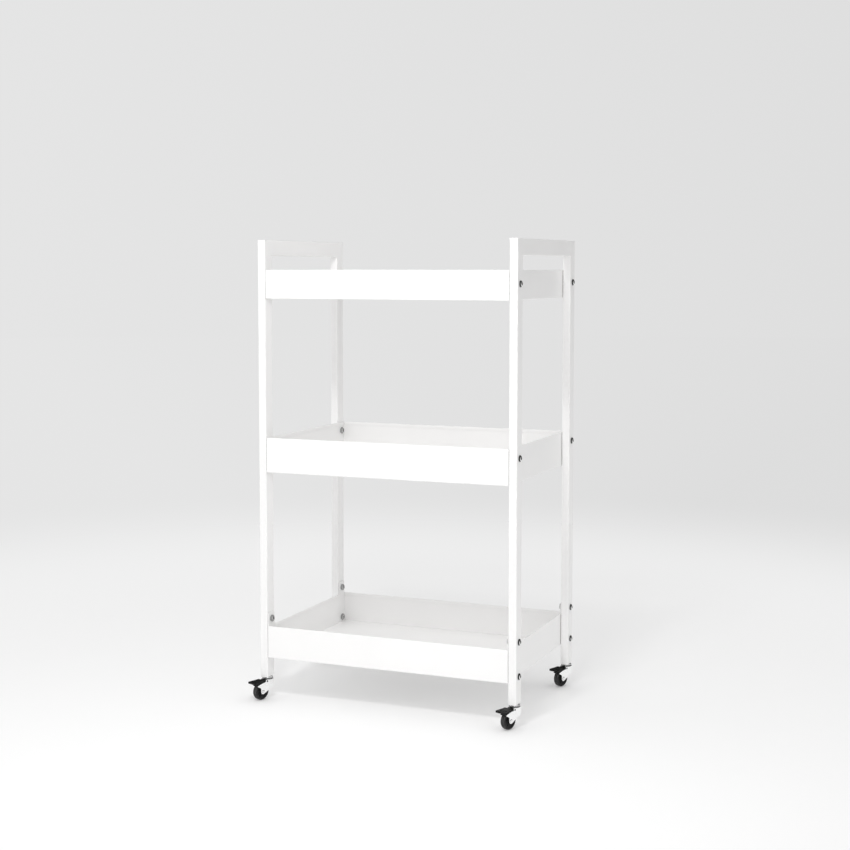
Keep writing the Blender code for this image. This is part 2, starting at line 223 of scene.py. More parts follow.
def rounded_rectangle(low, high, inset, radius, z):
    """Points round a rectangle with rounded corners, anticlockwise from above."""
    radius = max(radius - inset, LEAST_CORNER)
    x0, y0 = low[0] + inset + radius, low[1] + inset + radius
    x1, y1 = high[0] - inset - radius, high[1] - inset - radius
    points = []
    for (x, y), first in (((x1, y1), 0), ((x0, y1), 90), ((x0, y0), 180), ((x1, y0), 270)):
        for step in range(CORNER_STEPS + 1):
            turn = math.radians(first + 90 * step / CORNER_STEPS)
            points.append((x + radius * math.cos(turn), y + radius * math.sin(turn), z))
    return points


def arc(centre, radius, first, last, count):
    """Points on an arc, angles in degrees."""
    turns = [math.radians(first + (last - first) * i / (count - 1)) for i in range(count)]
    return [(centre[0] + radius * math.cos(a), centre[1] + radius * math.sin(a)) for a in turns]


def softened(points, radius, segments=3):
    """An outline with its corners rounded off, starting about this far from each."""
    rounded = []
    for before, corner, after in zip(points[-1:] + points[:-1], points, points[1:] + points[:1]):
        a, c, b = Vector(before), Vector(corner), Vector(after)
        reach = min(radius, 0.45 * (a - c).length, 0.45 * (b - c).length)
        start, end = c + (a - c).normalized() * reach, c + (b - c).normalized() * reach
        for i in range(segments + 1):
            t = i / segments
            rounded.append(tuple(start * (1 - t) ** 2 + c * 2 * t * (1 - t) + end * t ** 2))
    return rounded


def prism(name, outline, axis, low, high):
    """A flat outline pushed from low to high along an axis. Its two numbers are the other two axes."""
    at = {
        "X": lambda p, w: (w, p[0], p[1]),
        "Y": lambda p, w: (p[0], w, p[1]),
        "Z": lambda p, w: (p[0], p[1], w),
    }[axis]
    return rings_mesh(name, [[at(p, low) for p in outline], [at(p, high) for p in outline]])


def bevelled(mesh, offset, segments=2, chosen=lambda edge: True):
    """The mesh with its chosen edges rounded off."""
    shape = bmesh.new()
    shape.from_mesh(mesh)
    edges = [edge for edge in shape.edges if chosen(edge)]
    bmesh.ops.bevel(shape, geom=edges, offset=offset, segments=segments, profile=0.5, affect="EDGES")
    shape.to_mesh(mesh)
    shape.free()
    return mesh


def lies_across(edge, axis):
    """Whether both ends of an edge have the same place along an axis."""
    return abs(edge.verts[0].co[axis] - edge.verts[1].co[axis]) < 1e-6


def box_mesh(name, low, high):
    outline = [(low[0], low[1]), (high[0], low[1]), (high[0], high[1]), (low[0], high[1])]
    return prism(name, outline, "Z", low[2], high[2])


def rod(name, radius, start, end):
    start, end = Vector(start), Vector(end)
    mesh = lathe(name, [(radius, (end - start).length), (radius, 0.0)], HOLE_STEPS)
    turn = Vector((0, 0, 1)).rotation_difference(end - start).to_matrix().to_4x4()
    mesh.transform(Matrix.Translation(start) @ turn)
    return mesh


def shaped(mesh, steps, bevel=0.0, bevel_angle=35.0):
    """The mesh after Booleans with other meshes, as (operation, mesh) pairs, and a fine bevel."""
    scratch = [bpy.data.objects.new(mesh.name, mesh)]
    bpy.context.scene.collection.objects.link(scratch[0])
    for operation, other in steps:
        cutter = bpy.data.objects.new(other.name, other)
        bpy.context.scene.collection.objects.link(cutter)
        scratch.append(cutter)
        modifier = scratch[0].modifiers.new(other.name, "BOOLEAN")
        modifier.operation, modifier.solver, modifier.object = operation, "EXACT", cutter
    if bevel:
        modifier = scratch[0].modifiers.new("edges", "BEVEL")
        modifier.width, modifier.segments = bevel, 2
        modifier.limit_method, modifier.angle_limit = "ANGLE", math.radians(bevel_angle)
        modifier.use_clamp_overlap = True
    graph = bpy.context.evaluated_depsgraph_get()
    made = bpy.data.meshes.new_from_object(scratch[0].evaluated_get(graph))
    made.name = mesh.name
    for obj in scratch:
        old = obj.data
        bpy.data.objects.remove(obj, do_unlink=True)
        bpy.data.meshes.remove(old)
    return made


def smooth(mesh, sharp_angle=38.0):
    mesh.polygons.foreach_set("use_smooth", [True] * len(mesh.polygons))
    mesh.set_sharp_from_angle(angle=math.radians(sharp_angle))
    return mesh


def middle(node):
    """The middle of a node's box."""
    low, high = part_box(node)
    return [(a + b) / 2 for a, b in zip(low, high)]


def piece(name, mesh, look, slot, body, node, place=None):
    """A visible piece that stands for one node of the frame. A mesh that has its own materials keeps them."""
    obj = bpy.data.objects.new(name, mesh)
    if not mesh.materials:
        mesh.materials.append(look)
    bpy.context.scene.collection.objects.link(obj)
    if place is not None:
        obj.matrix_world = place
    even = obj.modifiers.new("even_shading", "WEIGHTED_NORMAL")
    even.keep_sharp = True
    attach(obj, body)
    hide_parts(node)
    return obj


# ---------------------------------------------------------------- materials

class Nodes:
    """Short names for building a tree of shader nodes."""

    def __init__(self, tree):
        self.tree = tree

    def add(self, kind, **settings):
        made = self.tree.nodes.new(kind)
        for key, value in settings.items():
            setattr(made, key, value)
        return made

    def link(self, source, target):
        self.tree.links.new(source, target)

    def feed(self, target, value):
        """A number or a colour goes on the socket itself, and another node's socket is linked to it."""
        if isinstance(value, (int, float, tuple)):
            target.default_value = value
        else:
            self.link(value, target)

    def axes(self, vector):
        """A vector's parts, by the names X, Y and Z."""
        made = self.add("ShaderNodeSeparateXYZ")
        self.link(vector, made.inputs["Vector"])
        return made.outputs

    def spread(self, source, low, high, start=0.3, end=0.7, **settings):
        """The source's range from start to end moved onto low to high."""
        made = self.add("ShaderNodeMapRange", **settings)
        for key, value in (("From Min", start), ("From Max", end), ("To Min", low), ("To Max", high)):
            made.inputs[key].default_value = value
        self.link(source, made.inputs["Value"])
        return made.outputs["Result"]

    def mix(self, factor, first, second, kind="RGBA"):
        """Between two colours, or with kind FLOAT two numbers, each a value or a socket."""
        made = self.add("ShaderNodeMix", data_type=kind)
        self.link(factor, made.inputs["Factor"])
        socket_type = "VALUE" if kind == "FLOAT" else kind
        for name, value in (("A", first), ("B", second)):
            self.feed(next(i for i in made.inputs if i.name == name and i.type == socket_type), value)
        return next(o for o in made.outputs if o.type == socket_type)

    def maths(self, operation, first, second=0.0):
        made = self.add("ShaderNodeMath", operation=operation)
        self.feed(made.inputs[0], first)
        self.feed(made.inputs[1], second)
        return made.outputs[0]

    def radius(self, parts):
        """The distance from the Z axis, from a place's parts."""
        squares = self.maths("ADD", self.maths("POWER", parts["X"], 2.0), self.maths("POWER", parts["Y"], 2.0))
        return self.maths("SQRT", squares)


class Surface(Nodes):
    """A new material's nodes. Noise scales are in features per metre, on the object's own coordinates."""

    def __init__(self, name):
        self.material = bpy.data.materials.new(name)
        self.material.use_nodes = True
        super().__init__(self.material.node_tree)
        self.shader = self.tree.nodes["Principled BSDF"]
        coordinates = self.add("ShaderNodeTexCoord").outputs
        self.place, self.facing = coordinates["Object"], coordinates["Normal"]

    def stretched(self, scale):
        mapping = self.add("ShaderNodeMapping")
        mapping.inputs["Scale"].default_value = scale
        self.link(self.place, mapping.inputs["Vector"])
        return mapping.outputs["Vector"]

    def noise(self, scale, detail=2.0, roughness=0.5, vector=None):
        made = self.add("ShaderNodeTexNoise")
        made.inputs["Scale"].default_value = scale
        made.inputs["Detail"].default_value = detail
        made.inputs["Roughness"].default_value = roughness
        self.link(vector or self.place, made.inputs["Vector"])
        return made.outputs["Fac"]

    def bump(self, height, distance, after=None):
        made = self.add("ShaderNodeBump")
        made.inputs["Strength"].default_value = 1.0
        made.inputs["Distance"].default_value = distance
        self.link(height, made.inputs["Height"])
        if after is not None:
            self.link(after, made.inputs["Normal"])
        return made.outputs["Normal"]

    def painted_gap_shade(self):
        """Painted shade mask: 1 deep inside a narrow gap, where shadow falls, 0 in the open and in an ordinary
        corner.
        """
        made = self.add("ShaderNodeAmbientOcclusion", samples=4)
        made.inputs["Distance"].default_value = 3.0 * MM
        return self.spread(made.outputs["AO"], 1.0, 0.0, 0.06, 0.32)

    def finish(self, colour=None, roughness=None, normal=None, **fixed):
        for socket, source in (("Base Color", colour), ("Roughness", roughness), ("Normal", normal)):
            if source is not None:
                self.link(source, self.shader.inputs[socket])
        for key, value in fixed.items():
            self.shader.inputs[key.replace("_", " ")].default_value = value
        return self.material


def grey(value, warm=0.0):
    return (value * (1 + warm), value, value * (1 - warm), 1.0)


def powder_coat():
    """White powder coat: orange peel over fine grain, faintly uneven in tone and gloss, thinner on edges, with
    painted shade in narrow gaps.
    """
    n = Surface("white_powder_coat")
    cloud = n.spread(n.noise(9.0, detail=3.0), 0.0, 1.0)
    colour = n.mix(cloud, grey(COAT_GREYS[0], warm=0.005), grey(COAT_GREYS[1], warm=0.006))
    worn = n.spread(n.add("ShaderNodeNewGeometry").outputs["Pointiness"], 0.0, 1.0, 0.53, 0.62)
    edge = n.maths("MULTIPLY", worn, n.spread(n.noise(240.0), 0.25, 1.0))
    colour = n.mix(n.maths("MULTIPLY", edge, 0.18), colour, grey(COAT_WORN))
    # Painted shade: the coat darkens inside narrow gaps between parts.
    colour = n.mix(n.painted_gap_shade(), colour, grey(GAP_SHADE_GREY))
    speck = n.add("ShaderNodeTexVoronoi")
    speck.inputs["Scale"].default_value = 260.0
    n.link(n.place, speck.inputs["Vector"])
    nib = n.spread(speck.outputs["Distance"], 1.0, 0.0, 0.03, 0.07)
    gloss = n.spread(n.noise(30.0, detail=4.0), 0.34, 0.46)
    roughness = n.maths("ADD", gloss, n.maths("MULTIPLY", nib, 0.06))
    peel = n.bump(n.noise(620.0), 0.04 * MM)
    grain = n.bump(n.noise(3200.0, detail=1.0), 0.008 * MM, after=peel)
    return n.finish(colour, roughness, grain, IOR=1.5)


def painted_edge_shade(n):
    """How much painted shade and painted dark reflection a pressing gets: most on its edges and its crown's rim,
    less on its back, not on its cheeks.
    """
    facing, at = n.axes(n.facing), n.axes(n.place)
    edge = n.spread(n.maths("ABSOLUTE", facing["Y"]), 1.0, 0.0, 0.35, 0.75)
    front = n.spread(at["X"], 0.35, 1.0, FORK_BACK + 0.6 * MM, FORK_BACK + 2 * MM)
    crown = n.spread(at["Z"], 0.0, 1.0, CROWN_Z[0], CROWN_Z[0] + 0.2 * MM)
    upright = n.spread(n.maths("ABSOLUTE", facing["Z"]), 1.0, 0.0, 0.5, 0.85)
    dark = n.maths("MAXIMUM", n.maths("MULTIPLY", edge, front), crown)
    return n.maths("MULTIPLY", n.maths("MULTIPLY", dark, upright), 0.9)


def painted_head_shade(n, across):
    """Painted shade on a bolt's head by distance from its axis: a painted contact shadow round the rim and
    painted shade in the socket.
    """
    rim = n.spread(across, 0.0, 1.0, HEAD_RADIUS - 1.5 * MM, HEAD_RADIUS - 0.7 * MM)
    hollow = n.spread(across, 1.0, 0.0, SOCKET_RADIUS - 0.1 * MM, SOCKET_RADIUS + 0.25 * MM)
    return n.maths("MULTIPLY", n.maths("MAXIMUM", rim, hollow), 0.96)


def plated(name, shade, gloss, turned, dark=""):
    """Bright plating over steel, with the marks of turning round Z or of drawing along X, and dulled patches.
    gloss is the least and the most roughness. dark is "head" for a bolt whose rim and socket get painted shade,
    or
    "edges" for a pressing whose edges, back and crown rim get painted shade and painted dark reflection."""
    n = Surface(name)
    dull = n.spread(n.noise(420.0, detail=3.0), 0.0, 1.0, 0.42, 0.72)
    colour = n.mix(dull, grey(shade, warm=-0.004), grey(shade * 0.94, warm=0.004))
    if dark == "edges":
        # Painted shade and painted dark reflection on the fork's edges, back and crown rim.
        colour = n.mix(painted_edge_shade(n), colour, grey(EDGE_SHADE_GREY))
    if turned:
        at = n.axes(n.place)
        across = n.radius(at)
        if dark == "head":
            # Painted shade: a dark rim for the head's contact shadow and a dark socket for the shade inside it.
            colour = n.mix(painted_head_shade(n, across), colour, grey(HEAD_SHADE_GREY))
        out = n.add("ShaderNodeCombineXYZ")
        n.link(across, out.inputs["X"])
        n.link(at["Z"], out.inputs["Y"])
        marks = n.noise(5200.0, vector=out.outputs["Vector"])
    else:
        marks = n.noise(2600.0, vector=n.stretched((0.12, 1.0, 1.0)))
    roughness = n.maths("ADD", n.spread(marks, *gloss), n.maths("MULTIPLY", dull, 0.08))
    return n.finish(colour, roughness, n.bump(marks, 0.0025 * MM), Metallic=1.0)


def moulded_plastic():
    """Black moulded plastic with a fine spark-eroded grain, rubbed smoother and paler in places."""
    n = Surface("black_plastic")
    rubbed = n.spread(n.noise(160.0, detail=3.0), 0.0, 1.0, 0.45, 0.75)
    colour = n.mix(rubbed, grey(PLASTIC_GREYS[0]), grey(PLASTIC_GREYS[1]))
    roughness = n.spread(n.noise(700.0), 0.36, 0.5)
    grain = n.bump(n.noise(4200.0), 0.01 * MM)
    return n.finish(colour, roughness, grain, IOR=1.47, Specular_IOR_Level=0.2)


def tread_plastic():
    """The tyre: matt black, dusty, with a rolled-in grain and painted highlight bands of sheen round the part
    that rolls.
    """
    n = Surface("black_tread")
    dust = n.spread(n.noise(330.0, detail=4.0, roughness=0.6), 0.0, 1.0, 0.35, 0.75)
    colour = n.mix(dust, grey(TREAD_GREYS[0]), grey(TREAD_GREYS[1], warm=0.03))
    at = n.axes(n.place)
    band = n.maths("SINE", n.maths("MULTIPLY", at["Z"], 2 * math.pi / TREAD_BAND))
    rolled = n.spread(n.radius(at), 0.0, 1.0, WHEEL_RADIUS - 1.2 * MM, WHEEL_RADIUS - 0.3 * MM)
    patchy = n.maths("MULTIPLY", rolled, n.spread(n.noise(60.0), 0.3, 1.0))
    # Painted highlight: lighter bands of sheen round the part that rolls.
    painted_sheen = n.maths("MULTIPLY", n.spread(band, 0.0, 1.0, 0.2, 0.9), patchy)
    colour = n.mix(painted_sheen, colour, grey(TREAD_SHEEN_GREY))
    roughness = n.spread(n.noise(900.0, detail=3.0), 0.5, 0.72)
    grain = n.bump(n.noise(2600.0, detail=3.0), 0.02 * MM)
    return n.finish(colour, roughness, grain, IOR=1.45, Specular_IOR_Level=0.4)


# ---------------------------------------------------------------- frames and trays

def bolt_hole(bolt, low, high):
    """A cut along a bolt's axis, through a box from low to high."""
    _, y, z = middle(bolt)
    return ("DIFFERENCE", rod("hole", BOLT_HOLE, (low.x - OVERSHOOT, y, z), (high.x + OVERSHOOT, y, z)))


def end_frame(side):
    """Two legs and a handle bar of one tube, mitred and welded, drilled for the bolts and the caster stems."""
    node = f"end_frame_{side}"
    low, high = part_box(node)
    slope = HANDLE_HEIGHT / TUBE_DEPTH
    near, far, top, foot = low.y, high.y, high.z, low.z

    def ring(at, grow=0.0, inset=0.0):
        """A ring round the tube. at(u) gives (y, z) for a depth u from the tube's outer face."""
        corners = (low.x - grow, -grow), (high.x + grow, TUBE_DEPTH + grow)
        return [(x, *at(u)) for x, u, _ in rounded_rectangle(*corners, inset, TUBE_CORNER, 0.0)]

    def leg(z, rear):
        return lambda u: (far - u if rear else near + u, z)

    def mitre(step, rear):
        """The mitre's plane, moved along the tube: down the leg by a negative step, along the bar by another."""
        def at(u):
            y, z = near + u, top - u * slope
            y, z = (y, z + step) if step < 0 else (y + step, z)
            return (near + far - y if rear else y, z)
        return at

    def leg_end(rear):
        return [
            ring(leg(foot + LEG_PLUG_DEPTH, rear), inset=TUBE_WALL),
            ring(leg(foot + 0.15 * MM, rear), inset=TUBE_WALL),
            ring(leg(foot, rear), inset=TUBE_WALL - 0.15 * MM),
            ring(leg(foot, rear), inset=0.2 * MM),
            ring(leg(foot + 0.2 * MM, rear)),
        ]

    def joint(rear):
        return [
            ring(mitre(-WELD_HALF_WIDTH, rear)),
            ring(mitre(0.0, rear), grow=WELD_RISE),
            ring(mitre(WELD_HALF_WIDTH, rear)),
        ]

    rings = leg_end(False) + joint(False) + joint(True)[::-1] + leg_end(True)[::-1]
    cuts = []
    for end in ENDS:
        cuts += [bolt_hole(f"bolt_{row}_{end}_{side}", low, high) for row in ROWS]
        x, y, _ = middle(f"caster_{end}_{side}_stem")
        cuts.append(("DIFFERENCE", rod("hole", BOLT_HOLE, (x, y, foot - OVERSHOOT), (x, y, STEM_TOP + 1 * MM))))
    mesh = shaped(rings_mesh(f"frame_{side}", rings), cuts)
    piece(f"frame_{side}", smooth(mesh), COAT, "white_coat", BODY, node)


def tray_profile(under, rim):
    """(inset, height) pairs: up the outer face, over the hem, down the inner face and onto the floor."""
    bend, inner = TRAY_BEND, TRAY_BEND - SHEET
    middle_x, middle_z = bend, under + bend
    outer_turns = [math.radians(15 * i) for i in range(7)]
    hem_turns = [math.radians(22.5 * i) for i in range(9)]
    inner_turns = [math.radians(90 - 15 * i) for i in range(7)]
    profile = [(middle_x - bend * math.sin(a), middle_z - bend * math.cos(a)) for a in outer_turns]
    profile += [(SHEET - SHEET * math.cos(t), rim - SHEET + SHEET * math.sin(t)) for t in hem_turns]
    lip = rim - HEM_DEPTH
    profile += [(2.0 * SHEET, lip + 0.3 * MM), (1.88 * SHEET, lip + 0.08 * MM), (1.6 * SHEET, lip),
                (SHEET, lip)]
    profile += [(middle_x - inner * math.sin(a), middle_z - inner * math.cos(a)) for a in inner_turns]
    return profile


def ear(x, y, foot, top):
    """An upright plate with rounded top corners that rises from an end wall."""
    near, far, r = y - EAR_WIDTH / 2, y + EAR_WIDTH / 2, EAR_CORNER
    outline = [(near, foot), (far, foot)]
    outline += arc((far - r, top - r), r, 0, 90, 8) + arc((near + r, top - r), r, 90, 180, 8)
    plate = prism("ear", outline, "X", x, x + SHEET)
    return bevelled(plate, 0.2 * MM, chosen=lambda edge: lies_across(edge, 0))


def ears(low, high, rim):
    """What makes the bottom tray's four ears, and clears its hem beside them."""
    steps = []
    for side in SIDES:
        for end in ENDS:
            _, y, _ = middle(f"bolt_bottom_upper_{end}_{side}")
            x = low.x if side == "left" else high.x - SHEET
            y = min(max(y, low.y + EAR_WIDTH / 2), high.y - EAR_WIDTH / 2)
            steps.append(("UNION", ear(x, y, rim - 5 * MM, high.z)))
    for end in ENDS:
        _, y, _ = middle(f"bolt_bottom_upper_{end}_left")
        near = max(y - EAR_WIDTH / 2 - CLEARANCE, low.y + 2 * SHEET)
        far = min(y + EAR_WIDTH / 2 + CLEARANCE, high.y - 2 * SHEET)
        bottom, top = rim - HEM_DEPTH - 1 * MM, rim + 1 * MM
        stop = box_mesh("stop", (low.x + SHEET, near, bottom), (high.x - SHEET, far, top))
        steps.append(("DIFFERENCE", stop))
    return steps


def mitre_slits(low, high, rim):
    """Slits where the hem's ends meet at a tray's four corners."""
    steps = []
    bottom, top = rim - HEM_DEPTH - 0.5 * MM, rim + 1 * MM
    for x, across in ((low.x, 1), (high.x, -1)):
        for y, along in ((low.y, 1), (high.y, -1)):
            slit = box_mesh("slit", (1.1 * SHEET, -HEM_SLIT / 2, bottom), (5 * SHEET, HEM_SLIT / 2, top))
            slit.transform(Matrix.Translation((x, y, 0)) @ Matrix.Rotation(math.atan2(along, across), 4, "Z"))
            steps.append(("DIFFERENCE", slit))
    return steps


def tray(tier):
    """A folded tray with a hemmed rim, drilled for its bolts."""
    node = f"tray_{tier}"
    low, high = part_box(node)
    rim = low.z + RIM_HEIGHTS[tier]
    rings = [rounded_rectangle(low, high, inset, TRAY_BEND, z) for inset, z in tray_profile(low.z, rim)]
    steps = (ears if tier == "bottom" else mitre_slits)(low, high, rim)
    for row in TRAY_ROWS[tier]:
        steps += [bolt_hole(f"bolt_{row}_{end}_left", low, high) for end in ENDS]
    mesh = shaped(rings_mesh(f"tray_{tier}_sheet", rings), steps)
    piece(f"tray_{tier}_sheet", smooth(mesh), COAT, "white_coat", BODY, node)


# ---------------------------------------------------------------- bolts and nuts

def bolt_mesh():
    """A button-head bolt with a hex socket, its head's underside at Z = 0 and the thread cut to its end."""
    shoulder = 0.55 * MM
    turns = [math.radians(10 * i) for i in range(1, 10)]
    profile = [(HEAD_RADIUS * math.sin(t), shoulder + (HEAD_HEIGHT - shoulder) * math.cos(t)) for t in turns]
    profile += [(HEAD_RADIUS, 0.3 * MM), (HEAD_RADIUS - 0.08 * MM, 0.08 * MM), (HEAD_RADIUS - 0.3 * MM, 0.0),
                (SHANK_RADIUS + 0.3 * MM, 0.0), (SHANK_RADIUS, -0.3 * MM)]
    rings = [circle(r, z) for r, z in profile]
    rings += thread_rings(SHANK_RADIUS, 5 * MM - SHANK_LENGTH, 0.6 * MM - SHANK_LENGTH)
    rings += [circle(SHANK_RADIUS - 0.6 * MM, -SHANK_LENGTH)]
    bottom = HEAD_HEIGHT - SOCKET_DEPTH
    socket = [(SOCKET_RADIUS, HEAD_HEIGHT + 1 * MM), (SOCKET_RADIUS, bottom), (0.3 * MM, bottom - 0.5 * MM)]
    lead_in = [(SOCKET_RADIUS + 0.6 * MM, HEAD_HEIGHT + 0.5 * MM),
               (SOCKET_RADIUS - 0.35 * MM, HEAD_HEIGHT - 0.45 * MM)]
    steps = [("DIFFERENCE", lathe("socket", socket, 6)), ("DIFFERENCE", lathe("lead_in", lead_in))]
    return smooth(shaped(rings_mesh("bolt", rings), steps), 30.0)


def nut_mesh():
    """A hexagon nut with chamfered corners and a countersunk bore, its seat at Z = 0."""
    flat, wide, mouth = NUT_CORNER * math.cos(math.radians(30)), NUT_CORNER + 0.25 * MM, NUT_BORE + 1.4 * MM
    hexagon = lathe("nut", [(NUT_CORNER, NUT_HEIGHT), (NUT_CORNER, 0.0)], 6)
    crown = [(flat - 0.1 * MM, NUT_HEIGHT + 0.02 * MM), (wide, NUT_HEIGHT - 0.65 * MM),
             (wide, 0.25 * MM), (flat + 0.1 * MM, -0.02 * MM)]
    bore = [(mouth, NUT_HEIGHT + 1 * MM), (NUT_BORE, NUT_HEIGHT - 0.4 * MM), (NUT_BORE, 0.4 * MM),
            (mouth, -1 * MM)]
    steps = [("INTERSECT", lathe("crown", crown)), ("DIFFERENCE", lathe("bore", bore))]
    return smooth(shaped(hexagon, steps), 25.0)


def fasteners():
    """Bolts put in from outside, and nuts on the faces that look inwards."""
    kinds = (
        ("bolt", "head", bolt_mesh(), BOLT_STEEL, HEAD_HEIGHT, 1),
        ("nut", "hex", nut_mesh(), NUT_STEEL, 0.0, -1),
    )
    for row in ROWS:
        for end in ENDS:
            for side, outward in SIDES.items():
                for kind, part, mesh, look, height, facing in kinds:
                    node = f"{kind}_{row}_{end}_{side}"
                    low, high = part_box(node)
                    seat = low.x + height if side == "left" else high.x - height
                    turn = Matrix.Rotation(facing * outward * math.pi / 2, 4, "Y")
                    place = Matrix.Translation((seat, (low.y + high.y) / 2, (low.z + high.z) / 2)) @ turn
                    piece(f"{node}_{part}", mesh, look, "plated_steel", BODY, node, place)


# ---------------------------------------------------------------- casters

def stem_mesh():
    """The threaded stem and its dished flange, riveted over under the fork's crown."""
    r, f = SHANK_RADIUS, FLANGE_RADIUS
    low, high = FLANGE_Z
    seat, dish, under = low - 0.2 * MM, low + 0.4 * MM, CROWN_Z[0]
    profile = [(r, high + 0.3 * MM), (r + 0.3 * MM, high), (f - 1.6 * MM, high),
               (f - 0.9 * MM, high - 0.12 * MM), (f - 0.25 * MM, high - 0.5 * MM), (f, high - 0.95 * MM),
               (f, low + 0.2 * MM), (f - 0.15 * MM, low), (f - 1.0 * MM, low),
               (f - 1.3 * MM, dish), (5.6 * MM, dish), (5.2 * MM, seat), (r, seat),
               (r, under - 0.3 * MM), (3.6 * MM, under - 0.3 * MM), (3.55 * MM, under - 0.8 * MM),
               (3.0 * MM, under - 1.3 * MM), (1.2 * MM, under - 1.5 * MM)]
    rings = [circle(r - 0.6 * MM, STEM_TOP)]
    rings += thread_rings(r, STEM_TOP - 0.5 * MM, high + 1.2 * MM)
    rings += [circle(radius, z) for radius, z in profile]
    return smooth(rings_mesh("stem", rings), 30.0)


def fork_mesh():
    """The pressed fork: round crown, closed back, two cheeks down to the axle and forward under the pedal."""
    axle = (TRAIL, WHEEL_RADIUS)
    side = [(FORK_BACK, 33.6 * MM), (FORK_BACK, 21.0 * MM)]
    side += arc(axle, 4.4 * MM, 242.0, 360.0, 14)
    front = [(19.6, 20.6), (26.6, 24.4), (26.4, 25.3), (21.5, 27.0), (16.0, 28.5), (10.2, 29.3), (9.4, 30.2),
             (8.4, 33.6)]
    side += [(x * MM, z * MM) for x, z in front]
    body = prism("fork", softened(side, 1.0 * MM), "Y", -CHEEK_OUTER, CHEEK_OUTER)

    def up_the_back(edge):
        return max(v.co.x for v in edge.verts) < FORK_BACK + 0.05 * MM and lies_across(edge, 1)

    body = bevelled(body, 2.0 * MM, segments=5, chosen=up_the_back)
    low, high = CROWN_Z
    r = FLANGE_RADIUS
    crown = [(5.0 * MM, high - 0.25 * MM), (5.4 * MM, high), (r - 1.4 * MM, high),
             (r - 0.7 * MM, high - 0.15 * MM), (r - 0.2 * MM, high - 0.5 * MM), (r, high - 1.0 * MM),
             (r, low + 0.25 * MM), (r - 0.25 * MM, low)]
    slot = box_mesh("slot", (FORK_BACK + 1.2 * MM, -CHEEK_INNER, 0.0), (40 * MM, CHEEK_INNER, low))
    steps = [
        ("UNION", lathe("crown", crown, 64)),
        ("DIFFERENCE", slot),
        ("DIFFERENCE", rod("bore", CROWN_BORE, (0, 0, 30 * MM), (0, 0, 40 * MM))),
    ]
    wide = 20 * MM
    for (x, z), radius in ((axle, AXLE_RADIUS + 0.3 * MM), (PEDAL_PIVOT, PEG_HOLE)):
        steps.append(("DIFFERENCE", rod("hole", radius, (x, -wide, z), (x, wide, z))))
    return smooth(shaped(body, steps, bevel=0.22 * MM), 40.0)


def wheel_mesh():
    """Tyre and ribbed hub about Z. The tyre is crowned and keeps its mould's parting line."""
    half = [(WHEEL_BORE, 5.0), (3.9 * MM, 5.0), (4.25 * MM, 4.75), (4.6 * MM, 3.4), (5.0 * MM, 3.1),
            (9.7 * MM, 3.1), (10.2 * MM, 3.35), (10.6 * MM, 4.2), (10.95 * MM, 4.45), (11.6 * MM, 4.5),
            (12.7 * MM, 4.4), (13.5 * MM, 3.95), (14.05 * MM, 3.2), (14.32 * MM, 2.2), (14.36 * MM, 1.0),
            (14.36 * MM, 0.2)]
    profile = [(r, z * MM) for r, z in half] + [(WHEEL_RADIUS, 0.0)]
    profile += [(r, -z * MM) for r, z in reversed(half)]
    steps = []
    for i in range(WHEEL_RIBS):
        for face in (1, -1):
            low, high = sorted((2.9 * MM * face, 4.0 * MM * face))
            rib = box_mesh("rib", (4.0 * MM, -0.55 * MM, low), (10.5 * MM, 0.55 * MM, high))
            rib = bevelled(rib, 0.2 * MM)
            rib.transform(Matrix.Rotation(math.radians(360 / WHEEL_RIBS * i), 4, "Z"))
            steps.append(("UNION", rib))
    mesh = smooth(shaped(lathe("wheel", profile, 72, wrap=True), steps), 32.0)
    mesh.materials.append(PLASTIC)
    mesh.materials.append(TREAD)
    for face in mesh.polygons:
        face.material_index = 1 if math.hypot(face.center.x, face.center.y) > HUB_RADIUS else 0
    return mesh


def axle_mesh():
    """A rivet through the cheeks, domed at both ends."""
    end, head = CHEEK_OUTER + 0.2 * MM, CHEEK_OUTER + 1.0 * MM
    half = [(0.5 * MM, head), (1.3 * MM, head - 0.07 * MM), (2.1 * MM, head - 0.25 * MM),
            (2.6 * MM, head - 0.5 * MM), (2.8 * MM, end + 0.1 * MM), (2.75 * MM, end), (AXLE_RADIUS, end)]
    return smooth(lathe("axle", half + [(r, -z) for r, z in reversed(half)], 40), 35.0)


